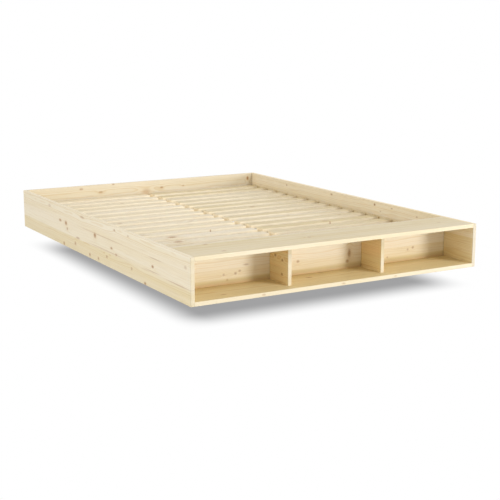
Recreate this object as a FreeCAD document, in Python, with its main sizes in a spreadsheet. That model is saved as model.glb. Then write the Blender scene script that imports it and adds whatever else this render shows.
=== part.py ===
import FreeCAD, Part
import os
import Sketcher
from FreeCAD import Placement, Rotation, Vector

# Low double bed in pine: a box of boards on recessed legs, with an open shelf across the foot
# and two loose sets of slats that lie on side rails and a centre beam.
# Lengths are in millimetres. The origin is on the floor under the middle of the bed,
# +X points to the right-hand side seen from the foot, +Y to the head and +Z up.

# Driving dimensions, one spreadsheet cell each
SIZES = {
    # The box of boards
    "bed_length": 2270,
    "bed_width": 1640,
    "bed_height": 325,
    "floor_gap": 100,
    "board_thickness": 20,
    "board_edge_radius": 2,
    # The shelf at the foot
    "shelf_depth": 225,
    "divider_thickness": 20,
    "divider_recess": 58,
    # The slats, counted from the head
    "slat_width": 68,
    "slat_thickness": 20,
    "slat_edge_radius": 3,
    "head_slat_gap": 24,
    "foot_slat_gap": 45.5,
    "slat_side_gap": 14,
    "slat_centre_gap": 32,
    # The webbing straps under the slats
    "strap_width": 25,
    "strap_thickness": 1.5,
    "strap_inset": 150,
    # The rails on the side boards and the beam along the middle
    "rail_width": 34,
    "rail_height": 40,
    "rail_end_gap": 5,
    "beam_width": 70,
    "beam_height": 55,
    # The cross bearers, legs and felt pads
    "bearer_width": 45,
    "bearer_height": 70,
    "foot_bearer_gap": 110,
    "head_bearer_gap": 330,
    "leg_width": 60,
    "leg_inset": 275,
    "leg_edge_radius": 4,
    "pad_diameter": 46,
    "pad_thickness": 3,
    # The dowels in the board joints
    "dowel_diameter": 8,
    "dowel_cover": 8,
    "dowel_end_depth": 24,
    "dowel_chamfer": 1,
    "dowel_clearance": 0.1,
    "dowel_end_clearance": 1,
    # The angle brackets
    "bracket_leg": 40,
    "bracket_width": 30,
    "bracket_thickness": 2,
    "bracket_bend_radius": 2,
    "bracket_hole_margin": 15,
    # The wood screws
    "screw_diameter": 4,
    "screw_tip_diameter": 1,
    "screw_tip_length": 4,
    "screw_head_diameter": 8,
    "screw_head_top_diameter": 5,
    "screw_head_height": 2.2,
    "screw_cover": 5,
    "screw_clearance": 0.1,
    # The bolts that hold the legs
    "bolt_diameter": 8,
    "bolt_head_diameter": 18,
    "bolt_head_top_diameter": 12,
    "bolt_head_height": 4.5,
    "bolt_leg_depth": 30,
    "bolt_clearance": 0.15,
}

# Counts
SLATS_PER_SET = 16
COMPARTMENTS = 3

# Where fasteners sit along the piece that they join, as shares of its length, depth or height
HEAD_DOWEL_SHARES = (0.12, 0.5, 0.88)
SHELF_DEPTH_DOWEL_SHARES = (0.15, 0.5, 0.85)
SHELF_BACK_SIDE_DOWEL_SHARES = (0.5, 0.88)
SHELF_BACK_EDGE_DOWEL_SHARES = (0.08, 0.29, 0.5, 0.71, 0.92)
DIVIDER_DOWEL_SHARES = (0.25, 0.75)
RAIL_SCREW_SHARES = (0.03, 0.165, 0.3, 0.435, 0.57, 0.705, 0.84, 0.97)
BRACKET_HOLE_SHARES = (0.25, 0.75)

# Planes and spans worked out from the driving dimensions, written as spreadsheet expressions
FOOT_FACE = "(-Sizes.bed_length / 2)"
HEAD_FACE = "(Sizes.bed_length / 2)"
LEFT_FACE = "(-Sizes.bed_width / 2)"
RIGHT_FACE = "(Sizes.bed_width / 2)"
LEFT_INNER_FACE = f"({LEFT_FACE} + Sizes.board_thickness)"
RIGHT_INNER_FACE = f"({RIGHT_FACE} - Sizes.board_thickness)"
HEAD_INNER_FACE = f"({HEAD_FACE} - Sizes.board_thickness)"
INNER_WIDTH = f"({RIGHT_INNER_FACE} - {LEFT_INNER_FACE})"
SIDE_HEIGHT = "(Sizes.bed_height - Sizes.floor_gap)"

SHELF_FLOOR = "(Sizes.floor_gap + Sizes.board_thickness)"
SHELF_CEILING = "(Sizes.bed_height - Sizes.board_thickness)"
SHELF_CLEAR_HEIGHT = f"({SHELF_CEILING} - {SHELF_FLOOR})"
SHELF_BOARD_DEPTH = "(Sizes.shelf_depth + Sizes.board_thickness)"
SHELF_BACK_FACE = f"({FOOT_FACE} + Sizes.shelf_depth)"
SHELF_REAR_FACE = f"({SHELF_BACK_FACE} + Sizes.board_thickness)"
DIVIDER_FRONT = f"({FOOT_FACE} + Sizes.divider_recess)"
DIVIDER_DEPTH = "(Sizes.shelf_depth - Sizes.divider_recess)"
COMPARTMENT_WIDTH = f"(({INNER_WIDTH} - {COMPARTMENTS - 1} * Sizes.divider_thickness) / {COMPARTMENTS})"

WELL_LENGTH = f"({HEAD_INNER_FACE} - {SHELF_REAR_FACE})"
BEARER_TOP = "(Sizes.floor_gap + Sizes.bearer_height)"
SLAT_UNDERSIDE = f"({BEARER_TOP} + Sizes.beam_height)"
SLAT_RUN = f"({WELL_LENGTH} - Sizes.head_slat_gap - Sizes.foot_slat_gap)"
SLAT_PITCH = f"(({SLAT_RUN} - Sizes.slat_width) / {SLATS_PER_SET - 1})"
SLAT_LENGTH = f"(({INNER_WIDTH} - Sizes.slat_centre_gap) / 2 - Sizes.slat_side_gap)"
LEFT_SLAT_START = f"({LEFT_INNER_FACE} + Sizes.slat_side_gap)"
RIGHT_SLAT_START = "(Sizes.slat_centre_gap / 2)"
LAST_SLAT_EDGE = f"({SHELF_REAR_FACE} + Sizes.foot_slat_gap)"
STRAP_UNDERSIDE = f"({SLAT_UNDERSIDE} - Sizes.strap_thickness)"

RAIL_UNDERSIDE = f"({SLAT_UNDERSIDE} - Sizes.rail_height)"
RAIL_START = f"({SHELF_REAR_FACE} + Sizes.rail_end_gap)"
RAIL_LENGTH = f"({WELL_LENGTH} - 2 * Sizes.rail_end_gap)"
LEG_HEIGHT = "(Sizes.floor_gap - Sizes.pad_thickness)"

# The three cross bearers and the two legs under each, by the middle of the piece
FOOT_BEARER_MIDDLE = f"({SHELF_REAR_FACE} + Sizes.foot_bearer_gap + Sizes.bearer_width / 2)"
HEAD_BEARER_MIDDLE = f"({HEAD_INNER_FACE} - Sizes.head_bearer_gap - Sizes.bearer_width / 2)"
BEARER_MIDDLES = {
    "foot": FOOT_BEARER_MIDDLE,
    "middle": f"(({FOOT_BEARER_MIDDLE} + {HEAD_BEARER_MIDDLE}) / 2)",
    "head": HEAD_BEARER_MIDDLE,
}
LEG_MIDDLES = {
    "left": f"({LEFT_FACE} + Sizes.leg_inset)",
    "right": f"({RIGHT_FACE} - Sizes.leg_inset)",
}

# Fasteners reach into a board and leave a cover of wood behind them
DOWEL_FACE_DEPTH = "(Sizes.board_thickness - Sizes.dowel_cover)"
RAIL_SCREW_LENGTH = "(Sizes.rail_width + Sizes.board_thickness - Sizes.screw_cover)"
BRACKET_SCREW_LENGTH = "(Sizes.bracket_thickness + Sizes.board_thickness - Sizes.screw_cover)"

# Edges of a board, named by the two faces that meet there
FOUR_LONG_EDGES_ACROSS = ("front top", "front bottom", "back top", "back bottom")
ALL_EDGES = FOUR_LONG_EDGES_ACROSS + (
    "left top", "left bottom", "right top", "right bottom",
    "left front", "left back", "right front", "right back",
)

UP = Vector(0, 0, 1)
TOWARDS_RIGHT = Vector(1, 0, 0)
TOWARDS_LEFT = Vector(-1, 0, 0)
TOWARDS_HEAD = Vector(0, 1, 0)
DOWN = Vector(0, 0, -1)

doc = FreeCAD.newDocument("pine_bed")
sheet = doc.addObject("Spreadsheet::Sheet", "Sizes")
for row, (alias, number) in enumerate(SIZES.items(), start=1):
    sheet.set(f"A{row}", alias)
    sheet.set(f"B{row}", str(number))
    sheet.setAlias(f"B{row}", alias)
doc.recompute()

sub_parts = []


def value(expression):
    """The number that a spreadsheet expression gives."""
    return float(sheet.evalExpression(expression))


def place_by_expressions(piece, place):
    """Binds a piece's corner or middle to three spreadsheet expressions."""
    for axis, expression in zip("xyz", place):
        piece.setExpression(f"Placement.Base.{axis}", expression)


def origin_plane(body, role):
    """One of the body's own origin planes."""
    return next(feature for feature in body.Origin.OriginFeatures if feature.Role == role)


def bound_sketch(body, name, corners):
    """A closed outline on the body's ground plane, its corners bound to expressions."""
    sketch = body.newObject("Sketcher::SketchObject", name)
    sketch.AttachmentSupport = [(origin_plane(body, "XY_Plane"), "")]
    sketch.MapMode = "FlatFace"
    points = [Vector(value(across), value(along), 0) for across, along in corners]
    count = len(points)
    for index in range(count):
        sketch.addGeometry(Part.LineSegment(points[index], points[(index + 1) % count]), False)
    for index, (across, along) in enumerate(corners):
        previous = (index - 1) % count
        sketch.addConstraint(Sketcher.Constraint("Coincident", previous, 2, index, 1))
        for kind, axis_line, expression in (("DistanceX", -2, across), ("DistanceY", -1, along)):
            if expression == "0":
                sketch.addConstraint(Sketcher.Constraint("PointOnObject", index, 1, axis_line))
                continue
            number = sketch.addConstraint(Sketcher.Constraint(kind, -1, 1, index, 1, value(expression)))
            sketch.renameConstraint(number, f"{kind}_{index}")
            sketch.setExpression(f"Constraints.{kind}_{index}", expression)
    return sketch


def edges_between(shape, faces):
    """Names of a block's edges, each given by the two faces that meet there."""
    box = shape.BoundBox
    side = {
        "left": ("x", box.XMin), "right": ("x", box.XMax),
        "front": ("y", box.YMin), "back": ("y", box.YMax),
        "bottom": ("z", box.ZMin), "top": ("z", box.ZMax),
    }
    nearness = Part.Precision.confusion()
    names = []
    for pair in faces:
        planes = [side[face] for face in pair.split()]
        for index, edge in enumerate(shape.Edges, start=1):
            middle = edge.CenterOfMass
            if all(abs(getattr(middle, axis) - level) < nearness for axis, level in planes):
                names.append(f"Edge{index}")
    return names


def block(label, size, place, rounded=(), radius="Sizes.board_edge_radius"):
    """A planed timber: an outline drawn on the flat, padded to its height, with eased edges."""
    body = doc.addObject("PartDesign::Body", label)
    width, depth, height = size
    outline = bound_sketch(
        body, f"{label}_outline", (("0", "0"), (width, "0"), (width, depth), ("0", depth))
    )
    pad = body.newObject("PartDesign::Pad", f"{label}_pad")
    pad.Profile = outline
    pad.setExpression("Length", height)
    doc.recompute()
    if rounded:
        fillet = body.newObject("PartDesign::Fillet", f"{label}_eased_edges")
        fillet.Base = (pad, edges_between(pad.Shape, rounded))
        fillet.setExpression("Radius", radius)
    place_by_expressions(body, place)
    doc.recompute()
    return body


def keep(piece, label):
    """Names a finished sub-part and puts it on the list to be written."""
    piece.Label = label
    sub_parts.append(piece)
    return piece


def drilled(label, blank, holes):
    """A timber with the holes that its fasteners need."""
    cut = doc.addObject("Part::Cut", f"{label}_drilled")
    cut.Base = blank
    cut.Tool = holes
    blank.Label = f"{label}_blank"
    return keep(cut, label)


def turned(label, stages):
    """A turned piece about Z, stacked from (lower radius, upper radius, lower level, height)."""
    pieces = []
    for lower_radius, upper_radius, level, height in stages:
        if lower_radius == upper_radius:
            piece = doc.addObject("Part::Cylinder", f"{label}_stage")
            piece.setExpression("Radius", lower_radius)
        else:
            piece = doc.addObject("Part::Cone", f"{label}_stage")
            piece.setExpression("Radius1", lower_radius)
            piece.setExpression("Radius2", upper_radius)
        piece.setExpression("Height", height)
        piece.setExpression("Placement.Base.z", level)
        pieces.append(piece)
    if len(pieces) == 1:
        return pieces[0]
    whole = doc.addObject("Part::MultiFuse", label)
    whole.Shapes = pieces
    whole.Refine = True
    return whole


def shank_stages(length, end_level, clearance):
    """Point and shank of a wood screw whose seat is at level zero."""
    shank = f"(Sizes.screw_diameter / 2 + {clearance})"
    point = f"(Sizes.screw_tip_diameter / 2 + {clearance})"
    start_level = f"(Sizes.screw_tip_length - {length})"
    return [
        (point, shank, f"-{length}", "Sizes.screw_tip_length"),
        (shank, shank, start_level, f"{end_level} - {start_level}"),
    ]


def countersunk_head(clearance):
    """Cone of a screw head that ends level with the face it is driven into."""
    return (
        f"(Sizes.screw_diameter / 2 + {clearance})", f"(Sizes.screw_head_diameter / 2 + {clearance})",
        "-Sizes.screw_head_height", "Sizes.screw_head_height",
    )


def copies(label, master, places):
    """Separate copies of one solid, as one group."""
    doc.recompute()
    solids = []
    for place in places:
        solid = master.Shape.Solids[0].copy()
        solid.Placement = place.multiply(solid.Placement)
        solids.append(solid)
    group = doc.addObject("Part::Feature", label)
    group.Shape = Part.makeCompound(solids)
    return group


def facing(direction, point):
    """A placement at a point with the local Z axis turned to a direction."""
    return Placement(point, Rotation(UP, direction))


def spread(start, length, shares):
    """Positions along a piece, from its start, its length and a table of shares."""
    return [value(start) + share * value(length) for share in shares]


# Where the fasteners go

def dowel_places():
    """Seats of the dowels, each on the joint plane with its long half along local Z."""
    half_board = value("Sizes.board_thickness") / 2
    shelf_levels = (value(SHELF_CEILING) + half_board, value("Sizes.floor_gap") + half_board)
    back_middle = value(SHELF_BACK_FACE) + half_board
    head_middle = value(HEAD_INNER_FACE) + half_board
    side_points = [
        (head_middle, level) for level in spread("Sizes.floor_gap", SIDE_HEIGHT, HEAD_DOWEL_SHARES)
    ]
    side_points += [
        (along, level)
        for level in shelf_levels
        for along in spread(FOOT_FACE, SHELF_BOARD_DEPTH, SHELF_DEPTH_DOWEL_SHARES)
    ]
    side_points += [
        (back_middle, level)
        for level in spread(SHELF_FLOOR, SHELF_CLEAR_HEIGHT, SHELF_BACK_SIDE_DOWEL_SHARES)
    ]
    upright_points = [
        (across, back_middle)
        for across in spread(LEFT_INNER_FACE, INNER_WIDTH, SHELF_BACK_EDGE_DOWEL_SHARES)
    ]
    upright_points += [
        (value(divider_start(index)) + value("Sizes.divider_thickness") / 2, along)
        for index in range(COMPARTMENTS - 1)
        for along in spread(DIVIDER_FRONT, DIVIDER_DEPTH, DIVIDER_DOWEL_SHARES)
    ]
    places = []
    for along, level in side_points:
        places.append(facing(TOWARDS_RIGHT, Vector(value(LEFT_INNER_FACE), along, level)))
        places.append(facing(TOWARDS_LEFT, Vector(value(RIGHT_INNER_FACE), along, level)))
    for across, along in upright_points:
        places.append(facing(DOWN, Vector(across, along, value(SHELF_CEILING))))
        places.append(facing(UP, Vector(across, along, value(SHELF_FLOOR))))
    return places


def rail_screw_places():
    """Seats of the screws that hold the rails to the side boards."""
    level = value(SLAT_UNDERSIDE) - value("Sizes.rail_height") / 2
    places = []
    for along in spread(RAIL_START, RAIL_LENGTH, RAIL_SCREW_SHARES):
        left_seat = Vector(value(LEFT_INNER_FACE) + value("Sizes.rail_width"), along, level)
        right_seat = Vector(value(RIGHT_INNER_FACE) - value("Sizes.rail_width"), along, level)
        places.append(facing(TOWARDS_RIGHT, left_seat))
        places.append(facing(TOWARDS_LEFT, right_seat))
    return places


def bracket_places():
    """Inside corners that hold an angle bracket, each turned so that its legs lie on the two faces."""
    half_width = value("Sizes.bracket_width") / 2
    left, right = value(LEFT_INNER_FACE), value(RIGHT_INNER_FACE)
    head, shelf = value(HEAD_INNER_FACE), value(SHELF_REAR_FACE)
    half_beam = value("Sizes.beam_width") / 2
    corner_level = (value(SHELF_FLOOR) + value(RAIL_UNDERSIDE)) / 2
    beam_level = (value(BEARER_TOP) + value(SLAT_UNDERSIDE)) / 2
    bearer_level = value("Sizes.floor_gap") + value("Sizes.bearer_height") / 2
    right_and_head, head_and_left, left_and_foot, foot_and_right = 0, 90, 180, 270
    corners = [
        (left, shelf, corner_level, right_and_head), (right, shelf, corner_level, head_and_left),
        (right, head, corner_level, left_and_foot), (left, head, corner_level, foot_and_right),
        (half_beam, shelf, beam_level, right_and_head), (-half_beam, shelf, beam_level, head_and_left),
        (-half_beam, head, beam_level, left_and_foot), (half_beam, head, beam_level, foot_and_right),
    ]
    for middle in BEARER_MIDDLES.values():
        bearer_face = value(middle) + value("Sizes.bearer_width") / 2
        corners.append((left, bearer_face, bearer_level, right_and_head))
        corners.append((right, bearer_face, bearer_level, head_and_left))
    return [
        Placement(Vector(across, along, level - half_width), Rotation(UP, angle))
        for across, along, level, angle in corners
    ]


def bracket_screw_seats():
    """Seats of a bracket's screws, in the bracket's own frame."""
    offset = value("Sizes.bracket_leg - Sizes.bracket_hole_margin")
    plate = value("Sizes.bracket_thickness")
    seats = []
    for share in BRACKET_HOLE_SHARES:
        level = share * value("Sizes.bracket_width")
        seats.append(facing(TOWARDS_HEAD, Vector(offset, plate, level)))
        seats.append(facing(TOWARDS_RIGHT, Vector(plate, offset, level)))
    return seats


def leg_middles():
    """Names and middles of the six legs, seen from above."""
    return [
        (f"{row}_{side}_leg", across, along)
        for row, along in BEARER_MIDDLES.items()
        for side, across in LEG_MIDDLES.items()
    ]


def divider_start(index):
    """Left face of a shelf divider."""
    return f"({LEFT_INNER_FACE} + {index + 1} * {COMPARTMENT_WIDTH} + {index} * Sizes.divider_thickness)"


# Fasteners and the holes that they need

def make_dowels():
    """Chamfered dowels across every butt joint of the boards, and the holes for them."""
    radius = "Sizes.dowel_diameter / 2"
    narrow = f"({radius} - Sizes.dowel_chamfer)"
    straight = f"({DOWEL_FACE_DEPTH} + Sizes.dowel_end_depth - 2 * Sizes.dowel_chamfer)"
    dowel = turned("dowel", [
        (narrow, radius, f"-{DOWEL_FACE_DEPTH}", "Sizes.dowel_chamfer"),
        (radius, radius, f"Sizes.dowel_chamfer - {DOWEL_FACE_DEPTH}", straight),
        (radius, narrow, "Sizes.dowel_end_depth - Sizes.dowel_chamfer", "Sizes.dowel_chamfer"),
    ])
    hole_radius = f"({radius} + Sizes.dowel_clearance)"
    hole_depth = f"({DOWEL_FACE_DEPTH} + Sizes.dowel_end_depth + 2 * Sizes.dowel_end_clearance)"
    hole = turned("dowel_hole", [
        (hole_radius, hole_radius, f"-{DOWEL_FACE_DEPTH} - Sizes.dowel_end_clearance", hole_depth),
    ])
    places = dowel_places()
    keep(copies("panel_dowels_group", dowel, places), "panel_dowels")
    return copies("dowel_holes", hole, places)


def make_rail_screws():
    """Countersunk screws through the rails into the side boards, and the holes for them."""
    neck = "-Sizes.screw_head_height"
    clearance = "Sizes.screw_clearance"
    screw = turned("rail_screw", shank_stages(RAIL_SCREW_LENGTH, neck, "0") + [countersunk_head("0")])
    hole = turned(
        "rail_screw_hole",
        shank_stages(RAIL_SCREW_LENGTH, neck, clearance) + [countersunk_head(clearance)],
    )
    places = rail_screw_places()
    keep(copies("rail_screws_group", screw, places), "rail_screws")
    return copies("rail_screw_holes", hole, places)


def make_brackets():
    """Angle brackets in the inside corners, their pan-head screws, and the holes for the screws."""
    screw = turned("bracket_screw", shank_stages(BRACKET_SCREW_LENGTH, "0", "0") + [
        (
            "Sizes.screw_head_diameter / 2", "Sizes.screw_head_top_diameter / 2",
            "0", "Sizes.screw_head_height",
        ),
    ])
    hole = turned(
        "bracket_screw_hole", shank_stages(BRACKET_SCREW_LENGTH, "0", "Sizes.screw_clearance")
    )
    seats = bracket_screw_seats()

    body = doc.addObject("PartDesign::Body", "bracket_plate")
    leg, plate = "Sizes.bracket_leg", "Sizes.bracket_thickness"
    corners = (("0", "0"), (leg, "0"), (leg, plate), (plate, plate), (plate, leg), ("0", leg))
    profile = bound_sketch(body, "bracket_profile", corners)
    pad = body.newObject("PartDesign::Pad", "bracket_pad")
    pad.Profile = profile
    pad.setExpression("Length", "Sizes.bracket_width")
    doc.recompute()
    inner_corner = Vector(value(plate), value(plate), value("Sizes.bracket_width") / 2)
    bend_edge = min(
        range(len(pad.Shape.Edges)),
        key=lambda index: pad.Shape.Edges[index].CenterOfMass.distanceToPoint(inner_corner),
    )
    bend = body.newObject("PartDesign::Fillet", "bracket_bend")
    bend.Base = (pad, [f"Edge{bend_edge + 1}"])
    bend.setExpression("Radius", "Sizes.bracket_bend_radius")
    bracket = doc.addObject("Part::Cut", "bracket")
    bracket.Base = body
    bracket.Tool = copies("bracket_plate_holes", hole, seats)

    places = bracket_places()
    screw_places = [place.multiply(seat) for place in places for seat in seats]
    keep(copies("angle_brackets_group", bracket, places), "angle_brackets")
    keep(copies("bracket_screws_group", screw, screw_places), "bracket_screws")
    return copies("bracket_screw_holes", hole, screw_places)


def make_leg_bolts():
    """A bolt down through the bearer into each leg, and the holes for them."""
    radius = "Sizes.bolt_diameter / 2"
    length = "(Sizes.bearer_height + Sizes.bolt_leg_depth)"
    bolt = turned("leg_bolt", [
        (radius, radius, f"-{length}", length),
        (
            "Sizes.bolt_head_diameter / 2", "Sizes.bolt_head_top_diameter / 2",
            "0", "Sizes.bolt_head_height",
        ),
    ])
    hole_radius = f"({radius} + Sizes.bolt_clearance)"
    hole_length = f"({length} + Sizes.bolt_clearance)"
    hole = turned("leg_bolt_hole", [(hole_radius, hole_radius, f"-{hole_length}", hole_length)])
    places = [
        Placement(Vector(value(across), value(along), value(BEARER_TOP)), Rotation())
        for label, across, along in leg_middles()
    ]
    keep(copies("leg_bolts_group", bolt, places), "leg_bolts")
    return copies("leg_bolt_holes", hole, places)


# Timber pieces

def make_side_boards(holes):
    """Full-length boards whose ends show at the foot."""
    size = ("Sizes.board_thickness", "Sizes.bed_length", SIDE_HEIGHT)
    for side, start in (("left", LEFT_FACE), ("right", RIGHT_INNER_FACE)):
        label = f"{side}_side_board"
        drilled(label, block(label, size, (start, FOOT_FACE, "Sizes.floor_gap"), ALL_EDGES), holes)


def make_head_board(holes):
    """Board between the side boards, level with them."""
    blank = block(
        "head_board",
        (INNER_WIDTH, "Sizes.board_thickness", SIDE_HEIGHT),
        (LEFT_INNER_FACE, HEAD_INNER_FACE, "Sizes.floor_gap"),
        FOUR_LONG_EDGES_ACROSS,
    )
    drilled("head_board", blank, holes)


def make_shelf(holes):
    """Open shelf across the foot, with dividers that stand back from its front edge."""
    flat_size = (INNER_WIDTH, SHELF_BOARD_DEPTH, "Sizes.board_thickness")
    levels = {"shelf_top_board": SHELF_CEILING, "shelf_bottom_board": "Sizes.floor_gap"}
    eased = {
        "shelf_top_board": ("front top", "front bottom", "back top"),
        "shelf_bottom_board": ("front top", "front bottom", "back bottom"),
    }
    for label, level in levels.items():
        drilled(label, block(label, flat_size, (LEFT_INNER_FACE, FOOT_FACE, level), eased[label]), holes)
    back = block(
        "shelf_back_board",
        (INNER_WIDTH, "Sizes.board_thickness", SHELF_CLEAR_HEIGHT),
        (LEFT_INNER_FACE, SHELF_BACK_FACE, SHELF_FLOOR),
    )
    drilled("shelf_back_board", back, holes)
    for index, side in enumerate(("left", "right")):
        label = f"{side}_shelf_divider"
        divider = block(
            label,
            ("Sizes.divider_thickness", DIVIDER_DEPTH, SHELF_CLEAR_HEIGHT),
            (divider_start(index), DIVIDER_FRONT, SHELF_FLOOR),
            ("left front", "right front"),
        )
        drilled(label, divider, holes)


def make_rails(holes):
    """Rails on the side boards that carry the outer ends of the slats."""
    size = ("Sizes.rail_width", RAIL_LENGTH, "Sizes.rail_height")
    starts = {"left": LEFT_INNER_FACE, "right": f"({RIGHT_INNER_FACE} - Sizes.rail_width)"}
    eased = {"left": ("right top", "right bottom"), "right": ("left top", "left bottom")}
    for side, start in starts.items():
        label = f"{side}_slat_rail"
        drilled(label, block(label, size, (start, RAIL_START, RAIL_UNDERSIDE), eased[side]), holes)


def make_centre_beam(holes):
    """Beam along the middle, on the cross bearers, that carries the inner ends of the slats."""
    blank = block(
        "centre_beam",
        ("Sizes.beam_width", WELL_LENGTH, "Sizes.beam_height"),
        ("-Sizes.beam_width / 2", SHELF_REAR_FACE, BEARER_TOP),
        ("left top", "left bottom", "right top", "right bottom"),
    )
    drilled("centre_beam", blank, holes)


def make_bearers(holes):
    """Cross bearers from side board to side board."""
    size = (INNER_WIDTH, "Sizes.bearer_width", "Sizes.bearer_height")
    for row, middle in BEARER_MIDDLES.items():
        label = f"{row}_cross_bearer"
        place = (LEFT_INNER_FACE, f"{middle} - Sizes.bearer_width / 2", "Sizes.floor_gap")
        drilled(label, block(label, size, place, FOUR_LONG_EDGES_ACROSS), holes)


def make_legs(holes):
    """Short square legs under the bearers, eased on every side but the top."""
    size = ("Sizes.leg_width", "Sizes.leg_width", LEG_HEIGHT)
    eased = (
        "left front", "left back", "right front", "right back",
        "left bottom", "right bottom", "front bottom", "back bottom",
    )
    for label, across, along in leg_middles():
        corner = (
            f"{across} - Sizes.leg_width / 2", f"{along} - Sizes.leg_width / 2", "Sizes.pad_thickness"
        )
        drilled(label, block(label, size, corner, eased, "Sizes.leg_edge_radius"), holes)


def make_felt_pads():
    """A round felt pad under each leg."""
    radius = "Sizes.pad_diameter / 2"
    pad = turned("felt_pad", [(radius, radius, "0", "Sizes.pad_thickness")])
    places = [
        Placement(Vector(value(across), value(along), 0), Rotation())
        for label, across, along in leg_middles()
    ]
    keep(copies("felt_pads_group", pad, places), "felt_pads")


def make_slat_set(side, start):
    """One loose set of slats, numbered from the head, with the straps that hold it together."""
    size = (SLAT_LENGTH, "Sizes.slat_width", "Sizes.slat_thickness")
    for index in range(SLATS_PER_SET):
        label = f"{side}_slat_{index + 1:02d}"
        along = f"{HEAD_INNER_FACE} - Sizes.head_slat_gap - Sizes.slat_width - {index} * {SLAT_PITCH}"
        slat = block(
            label, size, (start, along, SLAT_UNDERSIDE), FOUR_LONG_EDGES_ACROSS, "Sizes.slat_edge_radius"
        )
        keep(slat, label)
    straps = []
    insets = ("Sizes.strap_inset", f"{SLAT_LENGTH} - Sizes.strap_inset - Sizes.strap_width")
    for inset in insets:
        strap = doc.addObject("Part::Box", f"{side}_strap")
        strap.setExpression("Length", "Sizes.strap_width")
        strap.setExpression("Width", SLAT_RUN)
        strap.setExpression("Height", "Sizes.strap_thickness")
        place_by_expressions(strap, (f"{start} + {inset}", LAST_SLAT_EDGE, STRAP_UNDERSIDE))
        straps.append(strap)
    pair = doc.addObject("Part::Compound", f"{side}_strap_pair")
    pair.Links = straps
    keep(pair, f"{side}_slat_straps")


def joined_holes(label, groups):
    """Several groups of holes as one cutting tool."""
    holes = doc.addObject("Part::Compound", label)
    holes.Links = groups
    return holes


dowel_holes = make_dowels()
rail_screw_holes = make_rail_screws()
bracket_screw_holes = make_brackets()
leg_bolt_holes = make_leg_bolts()

make_side_boards(joined_holes("side_board_holes", [dowel_holes, rail_screw_holes, bracket_screw_holes]))
board_holes = joined_holes("board_holes", [dowel_holes, bracket_screw_holes])
make_head_board(board_holes)
make_shelf(board_holes)
make_rails(rail_screw_holes)
make_centre_beam(bracket_screw_holes)
make_bearers(joined_holes("bearer_holes", [bracket_screw_holes, leg_bolt_holes]))
make_legs(leg_bolt_holes)
make_felt_pads()
make_slat_set("left", LEFT_SLAT_START)
make_slat_set("right", RIGHT_SLAT_START)
doc.recompute()

for item in doc.Objects:
    if "Invalid" in item.State or "Error" in item.State:
        raise RuntimeError(f"{item.Label} did not recompute: {item.State}")
for piece in sub_parts:
    if piece.Shape.isNull() or not piece.Shape.isValid():
        raise RuntimeError(f"{piece.Label} has no valid shape")

os.makedirs("parts", exist_ok=True)
for piece in sub_parts:
    piece.Shape.exportStep(f"parts/{piece.Label}.step")
    print(f"{piece.Label}: {len(piece.Shape.Solids)} solid(s), {piece.Shape.Volume / 1000:.1f} cm3")
print(f"{len(sub_parts)} nodes")
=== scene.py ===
"""A low double bed in pine with an open shelf across the foot, dressed for a studio picture.

The boards, rails, beam, bearers, legs and brackets keep their solid shapes and get procedural finishes.
Much of the pine's tones and shades is painted light and shade, set for how the light falls on each part.
The slats, webbing, staples, screws, bolts and felt pads are grown by geometry nodes where the frame has them.
Lengths are in metres, +Z is up, and the foot of the bed, with its shelf, faces -Y.
"""
import math
from functools import partialmethod

import bmesh
import bpy
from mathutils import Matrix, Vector


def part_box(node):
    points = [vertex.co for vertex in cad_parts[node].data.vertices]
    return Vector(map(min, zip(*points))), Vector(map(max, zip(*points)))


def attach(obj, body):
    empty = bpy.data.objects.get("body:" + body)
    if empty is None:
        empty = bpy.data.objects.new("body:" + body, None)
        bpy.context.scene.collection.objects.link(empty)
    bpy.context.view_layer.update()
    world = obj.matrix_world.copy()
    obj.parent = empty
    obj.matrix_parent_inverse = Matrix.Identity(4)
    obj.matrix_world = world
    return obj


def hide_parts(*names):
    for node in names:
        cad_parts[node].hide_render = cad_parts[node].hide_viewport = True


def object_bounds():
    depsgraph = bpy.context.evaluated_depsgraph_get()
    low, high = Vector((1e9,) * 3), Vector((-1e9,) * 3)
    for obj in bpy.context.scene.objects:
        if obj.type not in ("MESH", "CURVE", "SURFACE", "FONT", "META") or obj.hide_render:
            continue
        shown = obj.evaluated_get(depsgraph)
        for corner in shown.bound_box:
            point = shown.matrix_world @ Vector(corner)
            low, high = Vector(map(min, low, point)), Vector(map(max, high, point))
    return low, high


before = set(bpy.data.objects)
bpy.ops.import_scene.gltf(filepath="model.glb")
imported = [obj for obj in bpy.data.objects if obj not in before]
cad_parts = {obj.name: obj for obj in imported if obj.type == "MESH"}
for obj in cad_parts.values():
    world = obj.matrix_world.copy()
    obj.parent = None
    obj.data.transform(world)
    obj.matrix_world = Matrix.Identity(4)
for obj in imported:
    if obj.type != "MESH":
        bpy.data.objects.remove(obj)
cad_low, cad_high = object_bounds()

# Camera, from the corners of the bed in the photograph
CAMERA_PLACE = (-2.879, -5.210, 1.311)
CAMERA_TURN = (math.radians(78.20), 0, math.radians(-30.07))
CAMERA_LENS = 76.93
SENSOR_WIDTH = 36.0

# Studio
FLOOR_REACH = 40.0
FLOOR_GREY = 0.85
SHADOW_SPREAD = 0.04
SHADOW_FADES = {"left": 0.165, "right": 0.23, "foot": 0.235, "head": 0.42}
CONTACT_REACH = 0.09
CONTACT_SHADE = 0.70
CONTACT_SAMPLES = 16
AMBIENT_LEVEL = 0.57
# Lamps: a place, a size and a power
LAMPS = {
    "key_lamp": ((7.24, -11.78, 1.275), 4.0, 919.0),
    "front_lamp": ((5.25, -9.29, 9.0), 3.0, 551.0),
    "fill_lamp": ((-6.3, -0.75, 1.8), 4.0, 105.0),
    "top_lamp": ((0.0, 2.9, 4.0), 3.0, 20.0),
}
LAMP_TARGET = (0.0, -0.2, 0.2)

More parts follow.
